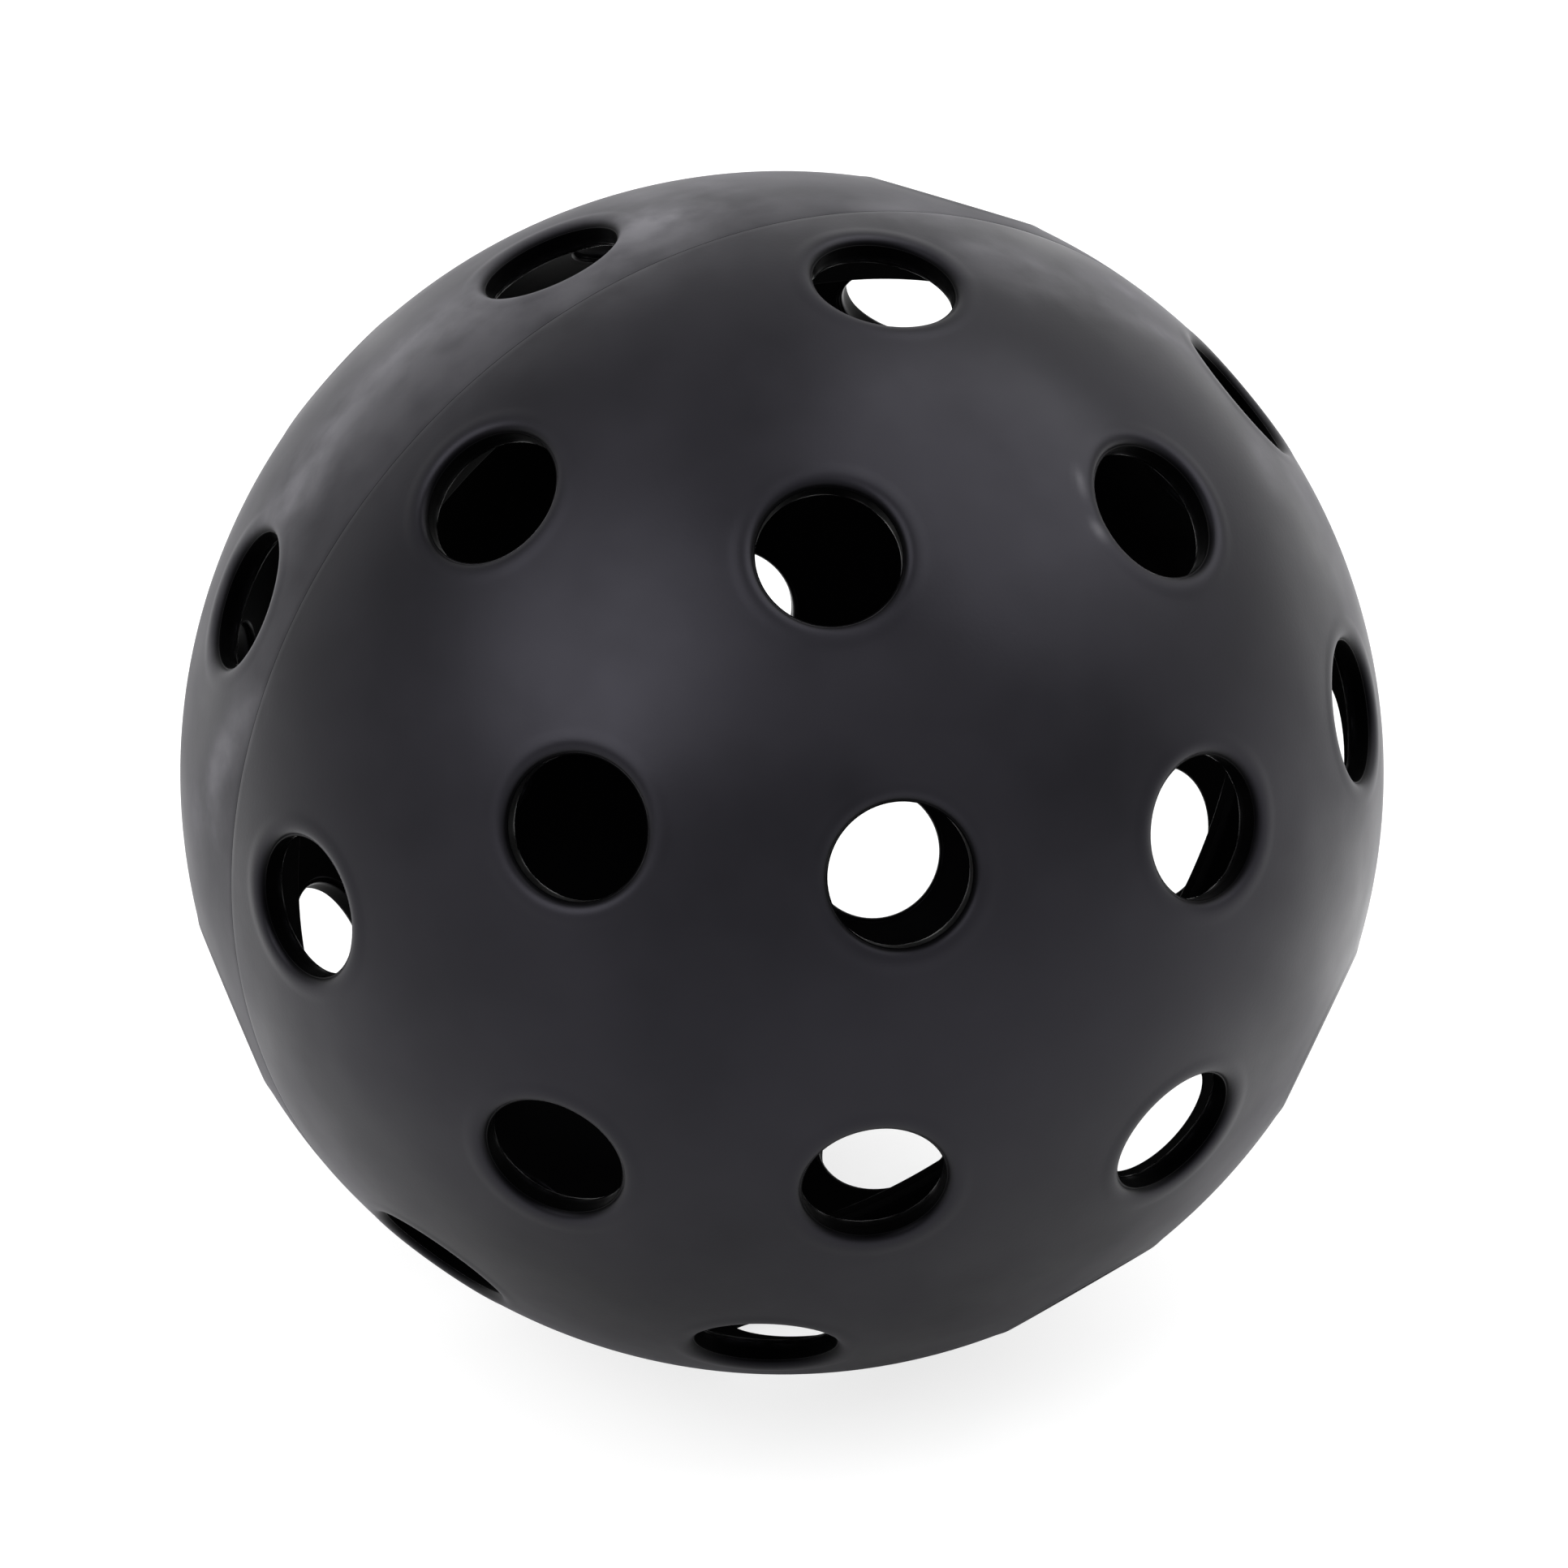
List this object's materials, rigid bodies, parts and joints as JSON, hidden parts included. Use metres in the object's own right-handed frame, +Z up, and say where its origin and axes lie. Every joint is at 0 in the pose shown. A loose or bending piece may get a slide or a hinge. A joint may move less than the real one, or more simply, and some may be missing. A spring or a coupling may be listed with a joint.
{
  "type": "pickleball",
  "caption": "Hollow perforated court ball of hard plastic, moulded as half shells that a tongue, a groove and a weld join at the middle",
  "frame": {"origin": "the ball's centre", "axes": "+Z up; the moulding axis is Y, the front half shell lies towards -Y, and the seam is the plane y = 0"},
  "size_m": [0.074, 0.074, 0.074],
  "materials": {
    "front_shell_plastic": "matte charcoal, as moulded",
    "rear_shell_plastic": "matte charcoal with pale scuffs",
    "weld_plastic": "remelted, smooth"
  },
  "bodies": {
    "root": {"front_half_shell": "front_shell_plastic", "rear_half_shell": "rear_shell_plastic", "weld_ring": "weld_plastic"}
  },
  "joints": []
}
